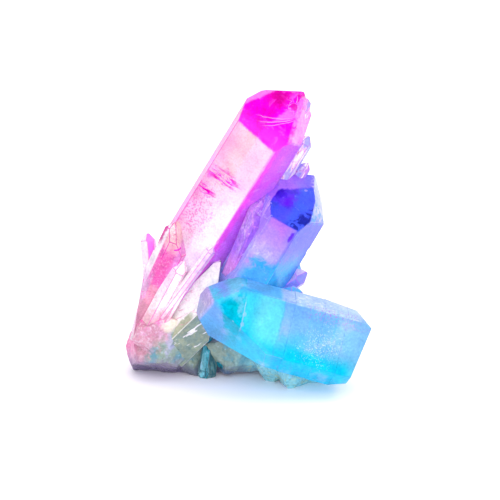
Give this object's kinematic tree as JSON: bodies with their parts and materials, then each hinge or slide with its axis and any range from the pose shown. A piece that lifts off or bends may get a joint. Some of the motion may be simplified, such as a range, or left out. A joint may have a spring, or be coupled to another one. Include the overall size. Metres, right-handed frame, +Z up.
{
  "type": "aura quartz crystal cluster",
  "caption": "Cluster of colour-coated quartz: a tall leaning point, a shorter one, a low one lying across the front, and small points fanning from a rough matrix base.",
  "frame": {"origin": "centre of the bounding box, on the plane of the flats that the cluster stands on", "axes": "+Z up, -Y towards the front that the low point lies across, +X to the side that the tall point leans to"},
  "size_m": [0.0402, 0.0302, 0.0486],
  "materials": {
    "aura_quartz": "clear to milky quartz with an iridescent film, magenta at the tall point through lilac to aqua at the low one"
  },
  "bodies": {
    "root": {"quartz_cluster": "aura_quartz"}
  },
  "joints": []
}
